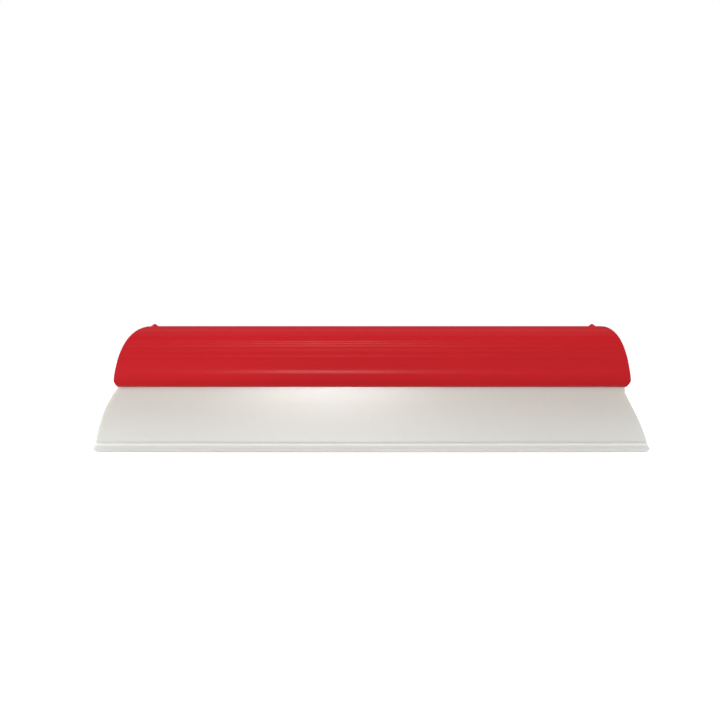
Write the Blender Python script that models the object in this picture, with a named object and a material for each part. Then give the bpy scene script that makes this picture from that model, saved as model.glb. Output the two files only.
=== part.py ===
"""Hand-held squeegee: a hollow ribbed grip bar that holds a one-piece silicone blade.

Metres, +Z up. The wiping edge lies along X at z = 0, the thickness is along Y, and the origin is the
middle of the wiping edge. Both pieces are extrusions along X whose ends are cut to a curve.
"""
import math

import bmesh
import bpy
from mathutils import Vector, geometry

MM = 0.001

# Blade, from the wiping edge upwards
BLADE_DROP = 35.4 * MM          # wiping edge to the grip's mouth
BLADE_LENGTH = 305.0 * MM       # along the wiping edge, tip to tip
TBAR_HEIGHT = 4.6 * MM
TBAR_THICKNESS = 8.0 * MM       # over the bar's flanks
TBAR_ROUND = 1.2 * MM           # shoulders of the bar
LIP_SPREAD = 0.6 * MM           # how far each lip stands proud of the bar's flank
LIP_HEIGHT = 1.3 * MM
LAND_WIDTH = 1.8 * MM           # flat under each lip
RELIEF_DEPTH = 0.4 * MM         # hollow between the two lands
WEB_LOWER = 2.0 * MM            # web thickness above the T-bar
WEB_UPPER = 3.4 * MM            # web thickness in the mouth; the web swells towards it
WEB_FILLET = 1.0 * MM
BEAD_RADIUS = 3.0 * MM
BEAD_RISE = 6.5 * MM            # mouth to the bead's centre
TIP_LEVEL = 1.5 * MM            # the outermost point of the blade's end
TIP_TUCK = 1.9 * MM             # the lowest corner lies this far inside the tip

# Flexing: the web bends about a line this far under the mouth
FLEX_DROP = 7.0 * MM

# Grip
GRIP_HEIGHT = 33.4 * MM         # mouth to crest
GRIP_THICKNESS = 24.0 * MM
CROWN_HEIGHT = 9.6 * MM         # rounded crest above the thickest level
JAW_THICKNESS = 19.8 * MM
JAW_LEVEL = 8.8 * MM            # above the mouth
JAW_EDGE = 7.2 * MM             # thickness over both jaw edges at the mouth
WALL = 2.3 * MM
FLOOR_THICKNESS = 2.2 * MM      # between the hollow core and the channel
CORE_ROUND = 2.0 * MM           # lower corners of the hollow core
FIT_GAP = 0.3 * MM              # all round the blade in the channel

# Grip ribs on each flank: level above the mouth, width, height
RIBS = (
    (28.0 * MM, 2.0 * MM, 0.20 * MM),
    (25.3 * MM, 2.0 * MM, 0.20 * MM),
    (22.4 * MM, 2.0 * MM, 0.20 * MM),
    (19.6 * MM, 2.0 * MM, 0.20 * MM),
    (16.3 * MM, 2.0 * MM, 0.16 * MM),
    (7.2 * MM, 1.4 * MM, 0.10 * MM),
)

# End cuts, left (-X) and right (+X)
LEFT, RIGHT = -1, 1
GRIP_SHORTER = {LEFT: 11.4 * MM, RIGHT: 10.6 * MM}      # from the blade's tip in to the grip's widest point
CORNER_HEIGHT = {LEFT: 3.6 * MM, RIGHT: 3.7 * MM}       # clipped lower corner of the grip's end cut
CORNER_INSET = {LEFT: 2.0 * MM, RIGHT: 2.3 * MM}
CREST_SETBACK = {LEFT: 21.0 * MM, RIGHT: 16.2 * MM}
CREST_PULL = {LEFT: 18.2 * MM, RIGHT: 13.8 * MM}
SIDE_PULL = 1.0 * MM
FOOT_LEVEL = 3.7 * MM                                   # where the blade's skirt starts
FOOT_INSET = {LEFT: 0.95 * MM, RIGHT: 1.2 * MM}         # from the blade's tip in to the skirt's foot
SKIRT_TOP_INSET = {LEFT: 2.0 * MM, RIGHT: 2.9 * MM}     # from the grip's widest point in to the skirt's top
SKIRT_TOP_DROP = {LEFT: 0.3 * MM, RIGHT: 3.1 * MM}      # from the mouth down to the skirt's top
SKIRT_LOW_PULL = {LEFT: 1.8 * MM, RIGHT: 2.0 * MM}      # inwards, a third of the way up the skirt
SKIRT_HIGH_PULL = {LEFT: 8.2 * MM, RIGHT: 4.9 * MM}     # outwards, two thirds of the way up the skirt

# Trim nibs on the crest, just inside the start of each end cut
NIB_INSET = {LEFT: 1.2 * MM, RIGHT: 4.8 * MM}
NIB_BASE = 3.6 * MM
NIB_HEIGHT = 1.2 * MM
NIB_SINK = 0.8 * MM

# Half lengths, and levels above the wiping edge
TIP_HALF = BLADE_LENGTH / 2
GRIP_HALF = {side: TIP_HALF - GRIP_SHORTER[side] for side in (LEFT, RIGHT)}
MOUTH = BLADE_DROP
BEAD_LEVEL = MOUTH + BEAD_RISE
FLEX_LEVEL = MOUTH - FLEX_DROP
CREST = MOUTH + GRIP_HEIGHT
CROWN_LEVEL = CREST - CROWN_HEIGHT
JAWS = MOUTH + JAW_LEVEL
CHANNEL_RADIUS = BEAD_RADIUS + FIT_GAP
CHANNEL_HALF = WEB_UPPER / 2 + FIT_GAP
CORE_FLOOR = BEAD_LEVEL + CHANNEL_RADIUS + FLOOR_THICKNESS

# Mesh fineness
CROWN_STEPS = 9
FLANK_STEPS = 9
JAW_STEPS = 7
WEB_STEPS = 6
ROUND_STEPS = 4
CHANNEL_STEPS = 16
CUT_STEPS = 12
RIB_STEPS = 4
REACH = 5 * MM                  # how far a cutter runs past what it cuts


def clear_scene():
    for obj in list(bpy.data.objects):
        bpy.data.objects.remove(obj, do_unlink=True)


def arc(center, radius_a, radius_b, start, end, steps):
    """Points of an ellipse about center from angle start to end, in degrees, both ends included."""
    points = []
    for step in range(steps + 1):
        angle = math.radians(start + (end - start) * step / steps)
        points.append((center[0] + radius_a * math.cos(angle), center[1] + radius_b * math.sin(angle)))
    return points


def curve(start, start_pull, end_pull, end, steps):
    """Points of a Bezier curve, both ends included."""
    knots = [Vector((*point, 0.0)) for point in (start, start_pull, end_pull, end)]
    return [(point.x, point.y) for point in geometry.interpolate_bezier(*knots, steps + 1)]


def smooth(share):
    """0 to 1 with no slope at either end."""
    return (1 - math.cos(math.pi * share)) / 2


def flank(level):
    """Half thickness of the plain grip at a level from the mouth to the crest."""
    if level >= CROWN_LEVEL:
        share = min((level - CROWN_LEVEL) / CROWN_HEIGHT, 1.0)
        return GRIP_THICKNESS / 2 * math.sqrt(1 - share * share)
    if level >= JAWS:
        share = (level - JAWS) / (CROWN_LEVEL - JAWS)
        return (JAW_THICKNESS + (GRIP_THICKNESS - JAW_THICKNESS) * smooth(share)) / 2
    share = (JAWS - level) / JAW_LEVEL
    return (JAW_EDGE + (JAW_THICKNESS - JAW_EDGE) * math.sqrt(max(1 - share * share, 0.0))) / 2


def flank_levels():
    """Levels where the plain flank needs a point, from the mouth up to just under the crest."""
    levels = [JAWS - JAW_LEVEL * math.cos(math.pi / 2 * step / JAW_STEPS) for step in range(JAW_STEPS)]
    levels += [JAWS + (CROWN_LEVEL - JAWS) * step / FLANK_STEPS for step in range(FLANK_STEPS)]
    levels += [
        CROWN_LEVEL + CROWN_HEIGHT * math.sin(math.pi / 2 * step / CROWN_STEPS)
        for step in range(CROWN_STEPS)
    ]
    return levels


def ribbed_flank():
    """(y, z) of one flank with its ribs, from the mouth up to just under the crest."""
    ribs = [(MOUTH + level, width, height) for level, width, height in RIBS]
    clear = [
        level for level in flank_levels()
        if all(abs(level - middle) > 0.6 * width for middle, width, _ in ribs)
    ]
    stations = [(level, 0.0) for level in clear]
    for middle, width, height in ribs:
        for step in range(RIB_STEPS + 1):
            share = step / RIB_STEPS
            stations.append((middle + width * (share - 0.5), height * smooth(2 * min(share, 1 - share))))
    points = []
    for level, height in sorted(stations):
        slope = (flank(level + 0.01 * MM) - flank(level - 0.01 * MM)) / (0.02 * MM)
        outward = Vector((1.0, -slope)).normalized()
        points.append((flank(level) + height * outward.x, level + height * outward.y))
    return points


def channel_side():
    """(y, z) of the channel's +Y side, from the top of its round part down to the mouth."""
    neck_angle = -math.degrees(math.acos(CHANNEL_HALF / CHANNEL_RADIUS))
    side = arc((0.0, BEAD_LEVEL), CHANNEL_RADIUS, CHANNEL_RADIUS, 90, neck_angle, CHANNEL_STEPS // 2)
    return side[1:] + [(CHANNEL_HALF, MOUTH)]


def mirrored(side, middle_points=()):
    """A closed outline from its +Y side: the side, then its mirror image in reverse order."""
    return [*side, *middle_points, *[(-y, z) for y, z in reversed(side)]]


def grip_outline():
    """Outer skin with the channel cut in from below."""
    channel_top = (0.0, BEAD_LEVEL + CHANNEL_RADIUS)
    side = channel_side() + ribbed_flank()
    return [channel_top] + mirrored(side, [(0.0, CREST)])


def core_outline():
    """The hollow: the skin moved in by the wall, with a flat floor over the channel."""
    half = GRIP_THICKNESS / 2 - WALL
    height = CROWN_HEIGHT - WALL
    corner = CORE_FLOOR + CORE_ROUND
    floor_half = flank(corner) - WALL
    side = arc((floor_half - CORE_ROUND, corner), CORE_ROUND, CORE_ROUND, -90, 0, ROUND_STEPS)
    for step in range(1, FLANK_STEPS):
        level = corner + (CROWN_LEVEL - corner) * step / FLANK_STEPS
        side.append((flank(level) - WALL, level))
    crown = arc((0.0, CROWN_LEVEL), half, height, 0, 90, CROWN_STEPS)
    return mirrored(side + crown[:-1], [crown[-1]])


def web_half(level):
    """Half thickness of the web, which swells in a curve from its foot up to the mouth."""
    foot = TBAR_HEIGHT + WEB_FILLET
    share = (level - foot) / (MOUTH - foot)
    return (WEB_LOWER + (WEB_UPPER - WEB_LOWER) * math.sin(math.pi / 2 * share)) / 2


def blade_outline():
    """Bead, web and T-bar."""
    bar_half = TBAR_THICKNESS / 2
    lip_half = bar_half + LIP_SPREAD
    lip_round = LIP_HEIGHT / 2
    land_inner = lip_half - lip_round - LAND_WIDTH
    web_foot = TBAR_HEIGHT + WEB_FILLET
    lower_half = WEB_LOWER / 2
    relief = [(land_inner / 2, RELIEF_DEPTH * 0.75), (land_inner, 0.0)]
    lip = arc((lip_half - lip_round, lip_round), lip_round, lip_round, -90, 60, 2 * ROUND_STEPS)
    shoulder = arc((bar_half - TBAR_ROUND, TBAR_HEIGHT - TBAR_ROUND), TBAR_ROUND, TBAR_ROUND, 0, 90,
                   ROUND_STEPS)
    bar_foot = [(bar_half, LIP_HEIGHT + LIP_SPREAD)]
    fillet = arc((lower_half + WEB_FILLET, web_foot), WEB_FILLET, WEB_FILLET, -90, -180, ROUND_STEPS)
    neck_angle = -math.degrees(math.acos(WEB_UPPER / 2 / BEAD_RADIUS))
    bead = arc((0.0, BEAD_LEVEL), BEAD_RADIUS, BEAD_RADIUS, neck_angle, 90, CHANNEL_STEPS // 2)
    levels = [web_foot + (MOUTH - web_foot) * step / WEB_STEPS for step in range(1, WEB_STEPS + 1)]
    web = [(web_half(level), level) for level in levels]
    side = relief + lip + bar_foot + shoulder + fillet + web + bead[:-1]
    return [(0.0, RELIEF_DEPTH)] + mirrored(side, [bead[-1]])


def grip_end(side):
    """(x, z) of one end cut of the grip, from the mouth up to the crest, x counted outwards."""
    half, clip, rise = GRIP_HALF[side], CORNER_INSET[side], CORNER_HEIGHT[side]
    corner = (half - clip, MOUTH)
    foot = (half, MOUTH + rise)
    lower = curve(corner, (corner[0] + clip / 3, corner[1] + clip / 3), (foot[0], foot[1] - rise / 3), foot,
                  ROUND_STEPS)
    top = (half - CREST_SETBACK[side], CREST)
    upper = curve(foot, (foot[0], foot[1] + SIDE_PULL), (top[0] + CREST_PULL[side], CREST), top, CUT_STEPS)
    return lower + upper[1:]


def blade_end(side):
    """(x, z) of one end cut of the blade, from the wiping edge up to the bead, x counted outwards."""
    tip = (TIP_HALF, TIP_LEVEL)
    foot = (TIP_HALF - FOOT_INSET[side], FOOT_LEVEL)
    top = (GRIP_HALF[side] - SKIRT_TOP_INSET[side], MOUTH - SKIRT_TOP_DROP[side])
    third = (top[1] - foot[1]) / 3
    low_pull = (foot[0] - SKIRT_LOW_PULL[side], foot[1] + third)
    high_pull = (top[0] + SKIRT_HIGH_PULL[side], top[1] - third)
    skirt = curve(foot, low_pull, high_pull, top, CUT_STEPS)
    root = (top[0], BEAD_LEVEL + BEAD_RADIUS + REACH)
    return [(TIP_HALF - TIP_TUCK, 0.0), tip] + skirt + [root]


def cut_outline(end, low, high):
    """Closed (x, z) outline of a piece seen from the front, made to run past its lowest and highest."""
    left, right = end(LEFT), end(RIGHT)
    left = [(left[0][0], low)] + left + [(left[-1][0], high)]
    right = [(right[0][0], low)] + right + [(right[-1][0], high)]
    return right + [(-x, z) for x, z in reversed(left)]


def prism(name, outline, low, high, placed):
    """A closed prism: the outline's corners are placed(corner, at) for at = low and high."""
    shape = bmesh.new()
    near = [shape.verts.new(placed(corner, low)) for corner in outline]
    far = [shape.verts.new(placed(corner, high)) for corner in outline]
    shape.faces.new(near)
    shape.faces.new(far)
    for index in range(len(outline)):
        after = (index + 1) % len(outline)
        shape.faces.new((near[index], near[after], far[after], far[index]))
    bmesh.ops.recalc_face_normals(shape, faces=shape.faces)
    mesh = bpy.data.meshes.new(name)
    shape.to_mesh(mesh)
    shape.free()
    obj = bpy.data.objects.new(name, mesh)
    bpy.context.scene.collection.objects.link(obj)
    return obj


def along_x(name, outline, half):
    """A (y, z) outline extruded to both sides along X."""
    return prism(name, outline, -half, half, lambda corner, x: (x, corner[0], corner[1]))


def along_y(name, outline, half):
    """An (x, z) outline extruded to both sides along Y."""
    return prism(name, outline, -half, half, lambda corner, y: (corner[0], y, corner[1]))


def nib(name, side):
    """A rounded peg that stands on the crest."""
    nib_half = GRIP_HALF[side] - CREST_SETBACK[side] - NIB_INSET[side]
    sunk_base = NIB_BASE / 2 * (1 + NIB_SINK / NIB_HEIGHT)
    profile = [(0.0, -NIB_SINK), (sunk_base, -NIB_SINK), (NIB_BASE / 2, 0.0)]
    profile += [(NIB_BASE / 5, NIB_HEIGHT * 0.75), (0.0, NIB_HEIGHT)]
    shape = bmesh.new()
    corners = [shape.verts.new((x, 0.0, z)) for x, z in profile]
    edges = [shape.edges.new(pair) for pair in zip(corners, corners[1:])]
    bmesh.ops.spin(shape, geom=corners + edges, axis=(0, 0, 1), cent=(0, 0, 0), angle=math.tau,
                   steps=3 * ROUND_STEPS)
    bmesh.ops.remove_doubles(shape, verts=shape.verts, dist=0.01 * MM)
    bmesh.ops.recalc_face_normals(shape, faces=shape.faces)
    bmesh.ops.translate(shape, verts=shape.verts, vec=(side * nib_half, 0.0, CREST))
    mesh = bpy.data.meshes.new(name)
    shape.to_mesh(mesh)
    shape.free()
    obj = bpy.data.objects.new(name, mesh)
    bpy.context.scene.collection.objects.link(obj)
    return obj


def combine(obj, other, operation):
    """A Boolean with a helper that is hidden from the render."""
    modifier = obj.modifiers.new(f"{operation.lower()} {other.name}", "BOOLEAN")
    modifier.operation = operation
    modifier.solver = "EXACT"
    modifier.object = other
    other.hide_render = True
    other.display_type = "WIRE"


def finish(obj, material, smooth_angle):
    obj.data.materials.append(material)
    obj.data.shade_smooth()
    obj.data.set_sharp_from_angle(angle=math.radians(smooth_angle))


def material(name, color, roughness, transmission=0.0):
    made = bpy.data.materials.new(name)
    made.use_nodes = True
    shader = made.node_tree.nodes["Principled BSDF"]
    shader.inputs["Base Color"].default_value = (*color, 1.0)
    shader.inputs["Roughness"].default_value = roughness
    shader.inputs["Metallic"].default_value = 0.0
    shader.inputs["Transmission Weight"].default_value = transmission
    return made


def make_handle():
    handle = along_x("handle", grip_outline(), TIP_HALF)
    core = along_x("cutter_core", core_outline(), TIP_HALF + REACH)
    ends = along_y("cutter_grip_ends", cut_outline(grip_end, MOUTH - REACH, CREST + REACH), GRIP_THICKNESS)
    combine(handle, core, "DIFFERENCE")
    combine(handle, ends, "INTERSECT")
    for side, word in ((LEFT, "left"), (RIGHT, "right")):
        combine(handle, nib(f"nib_{word}", side), "UNION")
    finish(handle, material("red_pvc", (0.56, 0.021, 0.026), 0.42), 30)
    return handle


def make_blade():
    blade = along_x("blade", blade_outline(), TIP_HALF + REACH)
    ends = along_y("cutter_blade_ends", cut_outline(blade_end, -REACH, CREST), GRIP_THICKNESS)
    combine(blade, ends, "INTERSECT")
    finish(blade, material("frosted_silicone", (0.66, 0.63, 0.58), 0.38, 0.25), 30)
    return blade


def set_origin_on_flex_line(obj):
    """The blade turns about the line where its web bends, so its origin lies on that line."""
    for vertex in obj.data.vertices:
        vertex.co.z -= FLEX_LEVEL
    obj.location.z = FLEX_LEVEL


def main():
    clear_scene()
    make_handle()
    set_origin_on_flex_line(make_blade())


main()
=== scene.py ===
"""Finished look of a hand-held squeegee: a ribbed, hollow grip bar and a frosted silicone blade.

Laid out as an add-on. Every piece is modelled where it stands, in metres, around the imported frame.
"""
import math

import bmesh
import bpy
from bpy.props import FloatProperty, FloatVectorProperty, IntProperty, PointerProperty
from bpy.types import Operator, Panel, PropertyGroup
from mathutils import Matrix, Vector


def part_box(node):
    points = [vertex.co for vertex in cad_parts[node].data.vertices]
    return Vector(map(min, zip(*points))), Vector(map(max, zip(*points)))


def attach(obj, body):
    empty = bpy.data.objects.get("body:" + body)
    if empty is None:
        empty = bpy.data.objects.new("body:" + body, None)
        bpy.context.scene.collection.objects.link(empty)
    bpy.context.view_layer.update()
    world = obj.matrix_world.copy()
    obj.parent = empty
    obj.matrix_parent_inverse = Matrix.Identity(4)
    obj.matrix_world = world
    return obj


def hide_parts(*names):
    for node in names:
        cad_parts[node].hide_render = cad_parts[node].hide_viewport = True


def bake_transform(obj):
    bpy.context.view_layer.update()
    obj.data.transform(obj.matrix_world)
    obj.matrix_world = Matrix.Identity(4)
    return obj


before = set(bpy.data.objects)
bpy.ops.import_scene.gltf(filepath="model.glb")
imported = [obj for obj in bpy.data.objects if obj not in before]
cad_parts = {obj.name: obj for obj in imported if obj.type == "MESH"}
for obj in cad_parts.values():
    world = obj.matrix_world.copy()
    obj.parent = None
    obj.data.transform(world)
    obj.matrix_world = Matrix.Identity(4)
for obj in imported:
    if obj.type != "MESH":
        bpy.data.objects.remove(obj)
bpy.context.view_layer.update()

bl_info = {
    "name": "Squeegee",
    "version": (1, 0, 0),
    "blender": (4, 5, 0),
    "location": "View3D > Sidebar > Squeegee",
    "description": "Models a hollow grip bar, its silicone blade and a plain studio",
    "category": "Add Mesh",
}

MM = 0.001
QUARTER = 0.5523                # Bezier handle's pull for a quarter round, as a share of the radius
LEFT, RIGHT = -1, 1
ACROSS_SECTION = (math.pi / 2, 0.0, math.pi / 2)    # outline in the YZ plane, thickness along X
SEEN_FROM_FRONT = (math.pi / 2, 0.0, 0.0)           # outline in the XZ plane, thickness along Y

GRIP_LOW, GRIP_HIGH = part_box("handle")
BLADE_LOW, BLADE_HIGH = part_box("blade")
MOUTH = GRIP_LOW.z
GRIP_HALF = {LEFT: -GRIP_LOW.x, RIGHT: GRIP_HIGH.x}
CREST_SETBACK = {LEFT: 21.0 * MM, RIGHT: 16.2 * MM}     # from the grip's end to the start of its crest

# Flat-topped grip ribs on each flank: level above the mouth, width, height
RIBS = (
    (28.0 * MM, 2.3 * MM, 0.12 * MM),
    (25.3 * MM, 2.4 * MM, 0.12 * MM),
    (22.4 * MM, 2.4 * MM, 0.12 * MM),
    (19.6 * MM, 2.2 * MM, 0.12 * MM),
    (16.3 * MM, 2.0 * MM, 0.12 * MM),
    (7.2 * MM, 1.4 * MM, 0.07 * MM),
)
RIB_RAMP = 0.6 * MM             # from the plain skin up to the flat top

# Paler bands round the T-bar, painted highlight that lifts the shade on its shoulder, flank and lips (the
# lip band partly clouding wear too): level where a band starts, level where it is full, how much paler
PAINTED_BAR_HIGHLIGHTS = (
    (5.2 * MM, 4.4 * MM, 1.2),
    (3.8 * MM, 3.2 * MM, 1.06),
    (1.6 * MM, 0.4 * MM, 1.14),
)


def length_property(name, description, default):
    """A length that the sidebar shows in the scene's unit."""
    return FloatProperty(name=name, description=description, default=default, unit="LENGTH", precision=5)


def colour_property(name, description, default):
    """A colour swatch."""
    return FloatVectorProperty(name=name, description=description, default=default, subtype="COLOR",
                               min=0.0, max=1.0)


def plain_property(name, description, default):
    """A bare number, such as a strength or a share."""
    return FloatProperty(name=name, description=description, default=default, min=0.0)


def power_property(name, description, default):
    """A lamp's power in watts."""
    return FloatProperty(name=name, description=description, default=default, min=0.0, unit="POWER")


class GripSettings(PropertyGroup):
    """Sizes and colour of the grip bar."""

    height: length_property("Height", "Mouth to crest", 33.4 * MM)
    thickness: length_property("Thickness", "Over the plain flanks, without ribs", 24.0 * MM)
    crown: length_property("Crown height", "Thickest level to crest", 8.4 * MM)
    jaw: length_property("Jaw thickness", "Over both jaws", 19.8 * MM)
    jaw_level: length_property("Jaw level", "Above the mouth", 8.8 * MM)
    jaw_edge: length_property("Jaw edge", "Thickness over both jaw edges at the mouth", 7.2 * MM)
    wall: length_property("Wall", "Thickness of the hollow skin", 2.3 * MM)
    core_floor: length_property("Core floor", "Floor of the hollow core above the mouth", 12.0 * MM)
    core_round: length_property("Core rounding", "Lower corners of the hollow core", 2.0 * MM)
    channel_radius: length_property("Channel radius", "Round part of the channel for the bead", 3.3 * MM)
    channel_level: length_property("Channel level", "Middle of the channel above the mouth", 6.5 * MM)
    slot: length_property("Slot", "Width of the channel's mouth", 4.0 * MM)
    rim: length_property("Rim rounding", "Rounding of every cut edge", 0.28 * MM)
    colour: colour_property("Colour", "Soft PVC of the grip", (0.49, 0.0145, 0.0195))


class BladeSettings(PropertyGroup):
    """Sizes and colour of the silicone blade."""

    half: length_property("Half length", "Middle to the tip of the wiping edge", BLADE_HIGH.x)
    bar_height: length_property("T-bar height", "Wiping edge to the web", 4.6 * MM)
    bar_half: length_property("T-bar half thickness", "Middle to the bar's flank", 4.0 * MM)
    bar_lean: length_property("T-bar lean", "How far the bar's flank leans in at its shoulder", 0.2 * MM)
    lip: length_property("Lip spread", "How far a lip stands proud of the bar's flank", 0.6 * MM)
    lip_height: length_property("Lip height", "Height of the wiping lips", 1.3 * MM)
    relief: length_property("Relief", "Hollow between the two lips", 0.4 * MM)
    web_lower: length_property("Lower web", "Thickness above the T-bar", 2.0 * MM)
    web_upper: length_property("Upper web", "Thickness in the mouth of the grip", 3.4 * MM)
    bead: length_property("Bead radius", "Round root that the grip holds", 3.0 * MM)
    rim: length_property("Rim rounding", "Rounding of every cut edge", 0.16 * MM)
    bend_reach: length_property("Bend reach", "From the bend's line to where it ends", 6.8 * MM)
    rows: IntProperty(name="Rows", description="Rows of faces across the bending web", default=34, min=8)
    # The near-grip colour is darker and warmer as painted shade under the grip.
    colour: colour_property("Colour", "Silicone near the grip", (0.60, 0.585, 0.545))
    # The lower colour is paler and cooler as painted light shining through the thinner web.
    painted_backlit_colour: colour_property("Lower colour", "Clearer silicone by the T-bar", (0.645, 0.65, 0.625))


class StageSettings(PropertyGroup):
    """Floor, lights and camera."""

    floor: colour_property("Floor", "Level paper floor", (0.62, 0.62, 0.62))
    lift: plain_property("Lift", "How far the floor under the object is lifted towards white", 0.50)
    ambient: plain_property("Ambient", "Strength of the even surrounding light", 0.36)
    gloss: plain_property("Gloss", "Strength of the surroundings in reflections", 0.12)
    key_power: power_property("Key power", "Low lamp before the grip", 0.52)
    left_power: power_property("Left power", "Soft level lamps on the left", 11.5)
    right_power: power_property("Right power", "Soft level lamps on the right", 4.8)
    top_power: power_property("Top power", "Soft lamp overhead", 8.8)
    lens: plain_property("Lens", "Focal length in millimetres", 250.0)
    distance: length_property("Camera distance", "From the squeegee's middle plane", 2.743)


# ---------------------------------------------------------------- modelling helpers

def start_clean():
    """Leaves edit mode with nothing selected, so that a new primitive stands alone."""
    if bpy.context.mode != "OBJECT":
        bpy.ops.object.mode_set(mode="OBJECT")
    bpy.ops.object.select_all(action="DESELECT")


def make_active(obj):
    """Selects the object alone, as the active one."""
    start_clean()
    obj.select_set(True)
    bpy.context.view_layer.objects.active = obj


def edit(obj):
    """Opens the object in edit mode."""
    make_active(obj)
    bpy.ops.object.mode_set(mode="EDIT")


def pick(obj, test):
    """In edit mode, selects the vertices whose place passes the test, with the edges between them."""
    bpy.ops.mesh.select_all(action="DESELECT")
    shape = bmesh.from_edit_mesh(obj.data)
    for vertex in shape.verts:
        vertex.select = test(vertex.co)
    shape.select_flush(True)
    bmesh.update_edit_mesh(obj.data)


def settle(obj):
    """Puts the object's place, turn and scale into its mesh."""
    make_active(obj)
    bpy.ops.object.transform_apply(location=True, rotation=True, scale=True)


def close_up(obj):
    """Merges doubles and turns every face outwards."""
    edit(obj)
    bpy.ops.mesh.select_all(action="SELECT")
    bpy.ops.mesh.remove_doubles(threshold=0.002 * MM)
    bpy.ops.mesh.normals_make_consistent(inside=False)
    bpy.ops.object.mode_set(mode="OBJECT")


def apply_modifier(obj, kind, **settings):
    """Adds a modifier with its settings and applies it."""
    make_active(obj)
    modifier = obj.modifiers.new(kind.lower(), kind)
    for key, value in settings.items():
        setattr(modifier, key, value)
    bpy.ops.object.modifier_apply(modifier=modifier.name)


def boolean(obj, other, operation):
    """Applies a Boolean and removes the helper."""
    apply_modifier(obj, "BOOLEAN", object=other, operation=operation, solver="EXACT")
    make_active(other)
    bpy.ops.object.delete()


def round_rims(obj, width):
    """Rounds every sharp edge."""
    apply_modifier(obj, "BEVEL", width=width, segments=2, limit_method="ANGLE",
                   angle_limit=math.radians(50), use_clamp_overlap=True)


def knot(across, up, pull_in=(0.0, 0.0), pull_out=(0.0, 0.0)):
    """A Bezier knot with the offsets of its two handles."""
    return (across, up), pull_in, pull_out


def corners(points):
    """Knots without pulls, for an outline that a formula gives point by point."""
    return [knot(across, up) for across, up in points]


def mirrored(knots):
    """A closed outline from the knots of its +Y side, those on the middle line used once."""
    other = []
    for (across, up), pull_in, pull_out in reversed(knots):
        if abs(across) > 0.001 * MM:
            other.append(((-across, up), (-pull_out[0], pull_out[1]), (-pull_in[0], pull_in[1])))
    return knots + other


def both_ends(side_knots):
    """A closed outline seen from the front, from a function that gives one end's knots upwards."""
    left = [(place, pull_out, pull_in) for place, pull_in, pull_out in reversed(side_knots(LEFT))]
    return side_knots(RIGHT) + left


def draw_bar(name, outlines, half, turn, fineness):
    """Draws flat closed outlines, gives them thickness to both sides and makes one mesh of them."""
    start_clean()
    bpy.ops.curve.primitive_bezier_circle_add(rotation=turn)
    obj = bpy.context.active_object
    obj.name = name
    drawing = obj.data
    drawing.dimensions = "2D"
    drawing.fill_mode = "BOTH"
    drawing.extrude = half
    drawing.splines.clear()
    for outline in outlines:
        spline = drawing.splines.new("BEZIER")
        spline.use_cyclic_u = True
        curved = any(any(pull_in + pull_out) for _, pull_in, pull_out in outline)
        spline.resolution_u = fineness if curved else 1
        spline.bezier_points.add(len(outline) - 1)
        for point, (place, pull_in, pull_out) in zip(spline.bezier_points, outline):
            point.handle_left_type = point.handle_right_type = "FREE"
            point.co = (*place, 0.0)
            point.handle_left = (place[0] + pull_in[0], place[1] + pull_in[1], 0.0)
            point.handle_right = (place[0] + pull_out[0], place[1] + pull_out[1], 0.0)
    bpy.ops.object.convert(target="MESH")
    settle(obj)
    close_up(obj)
    return obj


def smooth_finish(obj, degrees):
    """Smooth shading up to an angle, weighted so that flat faces stay flat."""
    make_active(obj)
    bpy.ops.object.shade_smooth_by_angle(angle=math.radians(degrees))
    modifier = obj.modifiers.new("even shading", "WEIGHTED_NORMAL")
    modifier.keep_sharp = True
    modifier.weight = 80


def wear(obj, *materials):
    """Gives the object these materials, the first on every face."""
    obj.data.materials.clear()
    for material in materials:
        obj.data.materials.append(material)


# ---------------------------------------------------------------- grip bar

def ease(share):
    """0 to 1 with no slope at either end."""
    return (1 - math.cos(math.pi * share)) / 2


def flank(s, level):
    """Half thickness of the plain skin at a level above the mouth."""
    thickest = s.height - s.crown
    if level >= thickest:
        share = min((level - thickest) / s.crown, 1.0)
        return s.thickness / 2 * math.sqrt(1 - share * share)
    if level >= s.jaw_level:
        share = (level - s.jaw_level) / (thickest - s.jaw_level)
        return (s.jaw + (s.thickness - s.jaw) * ease(share ** 0.8)) / 2
    share = (s.jaw_level - level) / s.jaw_level
    return (s.jaw_edge + (s.jaw - s.jaw_edge) * math.sqrt(max(1 - share * share, 0.0))) / 2


def rib(level):
    """How far the ribs stand proud of the plain skin at a level above the mouth."""
    proud = 0.0
    for middle, width, height in RIBS:
        inside = (width / 2 - abs(level - middle)) / RIB_RAMP
        proud += height * ease(min(max(inside, 0.0), 1.0))
    return proud


def grip_skin(s):
    """(y, z) of the outer skin from the jaw edge up to the crest, +Y side."""
    step = 0.1 * MM
    thickest = s.height - s.crown
    jaw_steps, crown_steps = 24, 40
    levels = [s.jaw_level * (1 - math.cos(math.pi / 2 * index / jaw_steps)) for index in range(jaw_steps)]
    levels += [s.jaw_level + step * index for index in range(round((thickest - s.jaw_level) / step))]
    levels += [thickest + s.crown * math.sin(math.pi / 2 * index / crown_steps)
               for index in range(crown_steps + 1)]
    return [(flank(s, level) + rib(level) * (level < s.height), MOUTH + level) for level in levels]


def grip_core(s):
    """Knots of the hollow core from the middle of its floor up to its crown, +Y side."""
    floor, corner = MOUTH + s.core_floor, s.core_round
    thickest = MOUTH + s.height - s.crown
    low_half = flank(s, s.core_floor + corner) - s.wall
    half, crown = s.thickness / 2 - s.wall, s.crown - s.wall
    side_pull = (thickest - floor - corner) * 0.38
    return [
        knot(0.0, floor),
        knot(low_half - corner, floor, pull_out=(corner * QUARTER, 0.0)),
        knot(low_half, floor + corner, (0.0, -corner * QUARTER), (0.0, side_pull)),
        knot(half, thickest, (0.0, -side_pull), (0.0, crown * QUARTER)),
        knot(0.0, thickest + crown, (half * QUARTER, 0.0), (-half * QUARTER, 0.0)),
    ]


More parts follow.
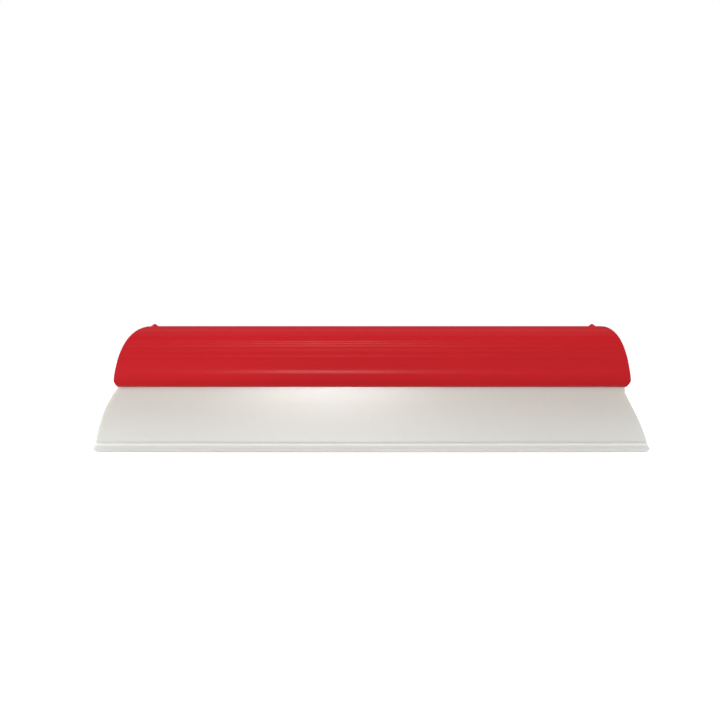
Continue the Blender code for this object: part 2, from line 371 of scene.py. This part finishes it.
def cut_channel(obj, s):
    """Cuts the round channel and its slot out of the bar's underside."""
    middle = MOUTH + s.channel_level
    long_enough = 2.4 * GRIP_HALF[RIGHT]
    start_clean()
    bpy.ops.mesh.primitive_cylinder_add(vertices=64, radius=s.channel_radius, depth=long_enough,
                                        location=(0.0, 0.0, middle), rotation=(0.0, math.pi / 2, 0.0))
    tube = bpy.context.active_object
    settle(tube)
    boolean(obj, tube, "DIFFERENCE")
    start_clean()
    depth = s.channel_level + 4 * MM
    bpy.ops.mesh.primitive_cube_add(size=1.0, location=(0.0, 0.0, middle - depth / 2))
    slot = bpy.context.active_object
    slot.scale = (long_enough, s.slot, depth)
    settle(slot)
    boolean(obj, slot, "DIFFERENCE")


def grip_end(s, side):
    """One end of the grip from the front, upwards: a clipped lower corner and a long round upper one."""
    clip, rise = {LEFT: (2.0 * MM, 3.6 * MM), RIGHT: (2.3 * MM, 3.7 * MM)}[side]
    crest_pull = {LEFT: 18.2 * MM, RIGHT: 13.8 * MM}[side]
    beyond = 6 * MM
    half, crest = GRIP_HALF[side], MOUTH + s.height
    top = side * (half - CREST_SETBACK[side])
    return [
        knot(side * (half - clip), MOUTH - beyond),
        knot(side * (half - clip), MOUTH, pull_out=(side * clip / 3, clip / 3)),
        knot(side * half, MOUTH + rise, (0.0, -rise / 3), (0.0, 1.0 * MM)),
        knot(top, crest, (side * crest_pull, 0.0)),
        knot(top, crest + beyond),
    ]


def add_nib(obj, s, side, inset):
    """A small rounded trim nib that stands on the crest."""
    base, height, sink, round_off = 3.6 * MM, 1.2 * MM, 0.8 * MM, 0.35 * MM
    middle = GRIP_HALF[side] - CREST_SETBACK[side] - inset
    start_clean()
    bpy.ops.mesh.primitive_cone_add(vertices=24, radius1=base / 2 * (1 + sink / height), radius2=0.45 * MM,
                                    depth=height + sink,
                                    location=(side * middle, 0.0, MOUTH + s.height + (height - sink) / 2))
    nib = bpy.context.active_object
    edit(nib)
    pick(nib, lambda co: co.z > 0.0)
    bpy.ops.mesh.bevel(offset=round_off, segments=3, affect="EDGES")
    settle(nib)
    boolean(obj, nib, "UNION")


def assign_core(obj, s):
    """Gives the faces of the hollow core and of the channel their own matt material."""
    edit(obj)
    bpy.ops.mesh.select_all(action="DESELECT")
    shape = bmesh.from_edit_mesh(obj.data)
    for face in shape.faces:
        middle = face.calc_center_median()
        level = middle.z - MOUTH
        in_core = s.core_floor - 0.1 * MM < level < s.height - s.wall / 2 and \
            abs(middle.y) < flank(s, level) - s.wall / 2
        in_channel = level < s.core_floor - s.wall / 2 and abs(middle.y) < s.channel_radius + 0.1 * MM
        face.select = abs(face.normal.x) < 0.3 and (in_core or in_channel)
    bmesh.update_edit_mesh(obj.data)
    obj.active_material_index = 1
    bpy.ops.object.material_slot_assign()
    bpy.ops.object.mode_set(mode="OBJECT")


class SQUEEGEE_OT_grip(Operator):
    """Model the hollow, ribbed grip bar"""

    bl_idname = "squeegee.grip"
    bl_label = "Grip Bar"

    def execute(self, context):
        s = context.scene.squeegee_grip
        skin = corners(grip_skin(s))
        grip = draw_bar("grip_bar", [mirrored(skin), mirrored(grip_core(s))], GRIP_HALF[RIGHT] + 6 * MM,
                        ACROSS_SECTION, 20)
        cut_channel(grip, s)
        ends = draw_bar("grip_ends", [both_ends(lambda side: grip_end(s, side))], s.thickness,
                        SEEN_FROM_FRONT, 20)
        boolean(grip, ends, "INTERSECT")
        add_nib(grip, s, LEFT, 1.2 * MM)
        add_nib(grip, s, RIGHT, 4.8 * MM)
        round_rims(grip, s.rim)
        close_up(grip)
        smooth_finish(grip, 35)
        wear(grip, soft_pvc(s), bare_core(s))
        assign_core(grip, s)
        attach(grip, "handle")
        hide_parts("handle")
        return {"FINISHED"}


# ---------------------------------------------------------------- silicone blade

def blade_section(s):
    """Knots of the blade's section from the middle of the wiping edge up to the bead, +Y side."""
    lip_half = s.bar_half + s.lip
    lip_round = s.lip_height / 2
    land = 1.8 * MM
    shoulder, fillet = 1.2 * MM, 1.0 * MM
    lower, upper = s.web_lower / 2, s.web_upper / 2
    middle = MOUTH + 6.5 * MM
    neck = middle - math.sqrt(s.bead ** 2 - upper ** 2)
    foot = s.bar_height + fillet
    rise = (MOUTH - foot) / 3
    land_inner = lip_half - lip_round - land
    turn = math.acos(upper / s.bead)
    tangent = (math.sin(turn), math.cos(turn))
    arc_pull = s.bead * 4 / 3 * math.tan((math.pi / 2 + turn) / 4)
    return [
        knot(0.0, s.relief, (-land_inner / 2, 0.0), (land_inner / 2, 0.0)),
        knot(land_inner, 0.0, (-land_inner / 4, s.relief / 3)),
        knot(lip_half - lip_round, 0.0, pull_out=(lip_round * QUARTER, 0.0)),
        knot(lip_half, lip_round, (0.0, -lip_round * QUARTER), (0.0, lip_round * QUARTER)),
        knot(s.bar_half, s.lip_height + s.lip, (s.lip * 0.4, -s.lip * 0.4)),
        knot(s.bar_half - s.bar_lean, s.bar_height - shoulder, pull_out=(0.0, shoulder * QUARTER)),
        knot(s.bar_half - shoulder, s.bar_height, (shoulder * QUARTER, 0.0)),
        knot(lower + fillet, s.bar_height, pull_out=(-fillet * QUARTER, 0.0)),
        knot(lower, foot, (0.0, -fillet * QUARTER), ((upper - lower) * math.pi / 6, rise)),
        knot(upper, MOUTH, (0.0, -rise)),
        knot(upper, neck, pull_out=(tangent[0] * arc_pull, tangent[1] * arc_pull)),
        knot(0.0, middle + s.bead, (arc_pull, 0.0), (-arc_pull, 0.0)),
    ]


def blade_end(s, side):
    """One end of the blade from the front, upwards: the tip, and a skirt that sweeps in to the grip."""
    tip_level, tip_tuck, foot_level = 1.5 * MM, 1.9 * MM, 3.7 * MM
    foot_inset = {LEFT: 0.95 * MM, RIGHT: 1.2 * MM}[side]
    top_inset, top_drop = {LEFT: (2.0 * MM, 0.3 * MM), RIGHT: (2.9 * MM, 3.1 * MM)}[side]
    low_pull, high_pull = {LEFT: (1.8 * MM, 8.2 * MM), RIGHT: (2.0 * MM, 4.9 * MM)}[side]
    beyond = 4 * MM
    foot, top, top_level = s.half - foot_inset, GRIP_HALF[side] - top_inset, MOUTH - top_drop
    third = (top_level - foot_level) / 3
    return [
        knot(side * (s.half - tip_tuck), -beyond),
        knot(side * (s.half - tip_tuck), 0.0),
        knot(side * s.half, tip_level, (0.0, -0.3 * MM), (0.0, 0.2 * MM)),
        knot(side * foot, foot_level, (side * 0.2 * MM, -0.7 * MM), (-side * low_pull, third)),
        knot(side * top, top_level, (side * high_pull, -third)),
        knot(side * top, BLADE_HIGH.z + beyond),
    ]


def add_rows(obj, low, high, count):
    """Cuts level rows across the web, so that it can bend in a smooth curve."""
    edit(obj)
    for row in range(count + 1):
        level = low + (high - low) * row / count
        bpy.ops.mesh.select_all(action="SELECT")
        bpy.ops.mesh.bisect(plane_co=(0.0, 0.0, level), plane_no=(0.0, 0.0, 1.0), threshold=0.001 * MM)
    bpy.ops.object.mode_set(mode="OBJECT")


class SQUEEGEE_OT_blade(Operator):
    """Model the one-piece silicone blade with its bead, web and T-bar"""

    bl_idname = "squeegee.blade"
    bl_label = "Silicone Blade"

    def execute(self, context):
        s = context.scene.squeegee_blade
        blade = draw_bar("silicone_blade", [mirrored(blade_section(s))], s.half + 5 * MM,
                         ACROSS_SECTION, 10)
        ends = draw_bar("blade_ends", [both_ends(lambda side: blade_end(s, side))], 12 * MM,
                        SEEN_FROM_FRONT, 16)
        boolean(blade, ends, "INTERSECT")
        round_rims(blade, s.rim)
        add_rows(blade, s.bar_height + 2 * MM, MOUTH + 2 * MM, s.rows)
        close_up(blade)
        smooth_finish(blade, 35)
        wear(blade, frosted_silicone(s))
        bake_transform(blade)
        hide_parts("blade")
        return {"FINISHED"}


# ---------------------------------------------------------------- materials

def new_material(name):
    """A material with its node tree and its main shader."""
    material = bpy.data.materials.new(name)
    material.use_nodes = True
    return material, material.node_tree, material.node_tree.nodes["Principled BSDF"]


def stretched_noise(tree, scale, fineness, detail=3.0, rough=0.55):
    """Noise on the piece's own coordinates, with its own stretch along X, Y and Z."""
    coordinates = tree.nodes.new("ShaderNodeTexCoord")
    mapping = tree.nodes.new("ShaderNodeMapping")
    mapping.inputs["Scale"].default_value = scale
    noise = tree.nodes.new("ShaderNodeTexNoise")
    noise.inputs["Scale"].default_value = fineness
    noise.inputs["Detail"].default_value = detail
    noise.inputs["Roughness"].default_value = rough
    tree.links.new(coordinates.outputs["Object"], mapping.inputs["Vector"])
    tree.links.new(mapping.outputs["Vector"], noise.inputs["Vector"])
    return noise.outputs["Fac"]


def level_of(tree):
    """Height above the wiping edge, on the piece's own coordinates."""
    coordinates = tree.nodes.new("ShaderNodeTexCoord")
    split = tree.nodes.new("ShaderNodeSeparateXYZ")
    tree.links.new(coordinates.outputs["Object"], split.inputs["Vector"])
    return split.outputs["Z"]


def spread(tree, value, low, high, to_low, to_high):
    """Maps a value from one range to another, held at both ends."""
    node = tree.nodes.new("ShaderNodeMapRange")
    for key, number in (("From Min", low), ("From Max", high), ("To Min", to_low), ("To Max", to_high)):
        node.inputs[key].default_value = number
    tree.links.new(value, node.inputs["Value"])
    return node.outputs["Result"]


def mixed(tree, share, first, second):
    """A colour between two colours."""
    node = tree.nodes.new("ShaderNodeMix")
    node.data_type = "RGBA"
    for key, colour in (("A", first), ("B", second)):
        socket = [one for one in node.inputs if one.name == key and one.type == "RGBA"][0]
        if isinstance(colour, bpy.types.NodeSocket):
            tree.links.new(colour, socket)
        else:
            socket.default_value = (*colour, 1.0)
    tree.links.new(share, node.inputs[0])
    return [one for one in node.outputs if one.type == "RGBA"][0]


def chosen(tree, share, first, second):
    """A number between two numbers; the first may come from another node."""
    node = tree.nodes.new("ShaderNodeMix")
    tree.links.new(share, node.inputs["Factor"])
    if isinstance(first, float):
        node.inputs["A"].default_value = first
    else:
        tree.links.new(first, node.inputs["A"])
    node.inputs["B"].default_value = second
    return node.outputs["Result"]


def bump(tree, height, depth, after=None):
    """A bump of the given depth in metres, on top of another one."""
    node = tree.nodes.new("ShaderNodeBump")
    node.inputs["Strength"].default_value = 1.0
    node.inputs["Distance"].default_value = depth
    tree.links.new(height, node.inputs["Height"])
    if after:
        tree.links.new(after, node.inputs["Normal"])
    return node.outputs["Normal"]


def product(tree, first, second):
    """Two numbers multiplied."""
    node = tree.nodes.new("ShaderNodeMath")
    node.operation = "MULTIPLY"
    tree.links.new(first, node.inputs[0])
    tree.links.new(second, node.inputs[1])
    return node.outputs["Value"]


def shade(colour, factor):
    """The same colour, lighter or darker."""
    return tuple(min(1.0, channel * factor) for channel in colour)


def soft_pvc(s):
    """Satin red PVC with long draw lines and a fine grain, paler on the crest and jaw edges: partly rub
    wear, partly painted light that lifts their shade.
    """
    material, tree, shader = new_material("soft_red_pvc")
    tone = stretched_noise(tree, (6.0, 20.0, 20.0), 1.6, detail=2.0)
    lines = stretched_noise(tree, (3.0, 300.0, 480.0), 2.4, detail=4.0)
    grain = stretched_noise(tree, (0.25, 1.0, 1.0), 900.0, detail=2.0)
    level, crest = level_of(tree), MOUTH + s.height
    drift = spread(tree, tone, 0.35, 0.65, 0.0, 1.0)
    patchy = spread(tree, grain, 0.3, 0.6, 0.5, 1.0)
    base = mixed(tree, drift, shade(s.colour, 0.97), shade(s.colour, 1.03))
    # Paler crest and jaw-edge bands: partly rub wear, partly painted light lifting the shade there.
    for start, full, amount in ((crest - 3 * MM, crest - 0.3 * MM, 0.9), (MOUTH + 1.6 * MM, MOUTH, 0.8)):
        rub_and_painted_light = product(tree, spread(tree, level, start, full, 0.0, amount), patchy)
        base = mixed(tree, rub_and_painted_light, base, shade(s.colour, 1.25))
    tree.links.new(base, shader.inputs["Base Color"])
    tree.links.new(spread(tree, lines, 0.3, 0.7, 0.17, 0.28), shader.inputs["Roughness"])
    shader.inputs["Specular IOR Level"].default_value = 0.06
    surface = bump(tree, lines, 0.010 * MM)
    surface = bump(tree, grain, 0.003 * MM, surface)
    tree.links.new(surface, shader.inputs["Normal"])
    return material


def bare_core(s):
    """The unpolished inside of the extrusion: matt, a little darker, with coarse die lines."""
    material, tree, shader = new_material("bare_red_pvc")
    lines = stretched_noise(tree, (2.0, 200.0, 300.0), 1.5, detail=3.0)
    drift = spread(tree, lines, 0.3, 0.7, 0.0, 1.0)
    base = mixed(tree, drift, shade(s.colour, 0.82), shade(s.colour, 0.98))
    tree.links.new(base, shader.inputs["Base Color"])
    tree.links.new(spread(tree, lines, 0.3, 0.7, 0.75, 0.9), shader.inputs["Roughness"])
    shader.inputs["Specular IOR Level"].default_value = 0.0
    tree.links.new(bump(tree, lines, 0.03 * MM), shader.inputs["Normal"])
    return material


def frosted_silicone(s):
    """Milky silicone: painted light makes the thinner lower web paler and cooler, painted shade makes it
    darker and warmer near the grip, and painted highlights pale the bar's shoulder and lips.
    """
    material, tree, shader = new_material("frosted_silicone")
    tone = stretched_noise(tree, (5.0, 5.0, 22.0), 1.3, detail=2.0)
    lines = stretched_noise(tree, (2.0, 160.0, 300.0), 2.0, detail=3.0)
    haze = stretched_noise(tree, (1.0, 1.0, 1.0), 700.0, detail=3.0)
    level = level_of(tree)
    drift = spread(tree, tone, 0.35, 0.65, 0.0, 1.0)
    upper = mixed(tree, drift, shade(s.colour, 0.985), shade(s.colour, 1.015))
    # Painted light and shade: the lower web paler and cooler as if lit through, the upper web darker under
    # the grip.
    painted_backlight_share = spread(tree, level, 27 * MM, 7 * MM, 0.0, 1.0)
    base = mixed(tree, painted_backlight_share, upper, s.painted_backlit_colour)
    # Painted highlight bands on the T-bar's shoulder, flank and lips; the lip band is partly clouding
    # wear.
    for start, full, paler in PAINTED_BAR_HIGHLIGHTS:
        band = spread(tree, level, start, full, 0.0, 1.0)
        base = mixed(tree, band, base, shade(s.painted_backlit_colour, paler))
    tree.links.new(base, shader.inputs["Base Color"])
    tree.links.new(spread(tree, haze, 0.3, 0.7, 0.20, 0.28), shader.inputs["Roughness"])
    shader.inputs["IOR"].default_value = 1.48
    shader.inputs["Subsurface Weight"].default_value = 0.8
    shader.inputs["Subsurface Radius"].default_value = (1.0, 0.97, 0.93)
    shader.inputs["Subsurface Scale"].default_value = 4 * MM
    surface = bump(tree, lines, 0.006 * MM)
    surface = bump(tree, haze, 0.003 * MM, surface)
    tree.links.new(surface, shader.inputs["Normal"])
    return material


# ---------------------------------------------------------------- stage

def add_floor(colour, lift):
    """A wide level floor, lifted towards white where it is seen directly."""
    start_clean()
    bpy.ops.mesh.primitive_plane_add(size=400.0, location=(0.0, 0.0, 0.0))
    floor = bpy.context.active_object
    floor.name = "studio_floor"
    material, tree, shader = new_material("studio_paper")
    shader.inputs["Base Color"].default_value = (*colour, 1.0)
    shader.inputs["Roughness"].default_value = 0.9
    shader.inputs["Specular IOR Level"].default_value = 0.1
    shader.inputs["Emission Color"].default_value = (1.0, 1.0, 1.0, 1.0)
    seen = tree.nodes.new("ShaderNodeLightPath")
    coordinates = tree.nodes.new("ShaderNodeTexCoord")
    distance = tree.nodes.new("ShaderNodeVectorMath")
    distance.operation = "LENGTH"
    tree.links.new(coordinates.outputs["Object"], distance.inputs[0])
    away = spread(tree, distance.outputs["Value"], 0.3, 2.2, lift, 1.0)
    tree.links.new(product(tree, seen.outputs["Is Camera Ray"], away), shader.inputs["Emission Strength"])
    floor.data.materials.append(material)


def add_lamp(name, place, aim, width, height, power):
    """A soft lamp that shines on the object's middle plane and is not seen itself."""
    start_clean()
    bpy.ops.object.light_add(type="AREA", location=place)
    lamp = bpy.context.active_object
    lamp.name = name
    lamp.data.energy = power
    lamp.data.shape = "RECTANGLE"
    lamp.data.size = width
    lamp.data.size_y = height
    lamp.visible_camera = False
    lamp.rotation_euler = (Vector(aim) - Vector(place)).to_track_quat("-Z", "Y").to_euler()


def add_world(ambient, gloss):
    """Even white surroundings that light the object, and show in its sheen, more softly than they look."""
    world = bpy.data.worlds.new("studio")
    world.use_nodes = True
    tree = world.node_tree
    seen = tree.nodes.new("ShaderNodeLightPath")
    sheen = chosen(tree, seen.outputs["Is Glossy Ray"], ambient, gloss)
    strength = chosen(tree, seen.outputs["Is Camera Ray"], sheen, 1.0)
    background = tree.nodes["Background"]
    background.inputs["Color"].default_value = (1.0, 1.0, 1.0, 1.0)
    tree.links.new(strength, background.inputs["Strength"])
    bpy.context.scene.world = world


def add_camera(s):
    """Square on to the front, a little to the left of the middle and level with it."""
    start_clean()
    place = (-6.3 * MM, -s.distance, 50.2 * MM)
    bpy.ops.object.camera_add(location=place, rotation=(math.pi / 2, 0.0, 0.0))
    camera = bpy.context.active_object
    camera.data.lens = s.lens
    camera.data.sensor_width = 36.0
    bpy.context.scene.camera = camera


class SQUEEGEE_OT_stage(Operator):
    """Set the seamless floor, the soft lamps and the camera"""

    bl_idname = "squeegee.stage"
    bl_label = "Studio"

    def execute(self, context):
        s = context.scene.squeegee_stage
        add_floor(s.floor, s.lift)
        add_world(s.ambient, s.gloss)
        add_lamp("key", (-0.029, -0.60, 0.030), (-0.03, 0.0, 0.035), 0.07, 0.015, s.key_power)
        for side, across, power in (("left", -1.0, s.left_power), ("right", 1.0, s.right_power)):
            add_lamp(f"{side}_front", (across, -1.0, 0.16), (0.0, 0.0, 0.04), 1.2, 0.4, power)
            add_lamp(f"{side}_back", (across, 1.0, 0.8), (0.0, 0.0, 0.04), 1.2, 1.2, 1.1 * power)
        add_lamp("top", (0.0, 0.0, 1.4), (0.0, 0.0, 0.03), 1.7, 1.7, s.top_power)
        context.scene.view_settings.view_transform = "Standard"
        add_camera(s)
        return {"FINISHED"}


class VIEW3D_PT_squeegee(Panel):
    """Sidebar panel with every piece and its sizes"""

    bl_label = "Squeegee"
    bl_idname = "VIEW3D_PT_squeegee"
    bl_space_type = "VIEW_3D"
    bl_region_type = "UI"
    bl_category = "Squeegee"

    def draw(self, context):
        for operator, group in STEPS:
            box = self.layout.box()
            box.operator(operator)
            settings = getattr(context.scene, group)
            for key in settings.bl_rna.properties.keys():
                if key not in ("rna_type", "name"):
                    box.prop(settings, key)


STEPS = (
    ("squeegee.grip", "squeegee_grip"),
    ("squeegee.blade", "squeegee_blade"),
    ("squeegee.stage", "squeegee_stage"),
)
GROUPS = (
    ("squeegee_grip", GripSettings),
    ("squeegee_blade", BladeSettings),
    ("squeegee_stage", StageSettings),
)
CLASSES = (
    GripSettings,
    BladeSettings,
    StageSettings,
    SQUEEGEE_OT_grip,
    SQUEEGEE_OT_blade,
    SQUEEGEE_OT_stage,
    VIEW3D_PT_squeegee,
)


def register():
    for cls in CLASSES:
        bpy.utils.register_class(cls)
    for name, group in GROUPS:
        setattr(bpy.types.Scene, name, PointerProperty(type=group))


def unregister():
    for name, _ in GROUPS:
        delattr(bpy.types.Scene, name)
    for cls in reversed(CLASSES):
        bpy.utils.unregister_class(cls)


def main():
    register()
    bpy.ops.squeegee.grip()
    bpy.ops.squeegee.blade()
    bpy.ops.squeegee.stage()


if __name__ == "__main__":
    main()
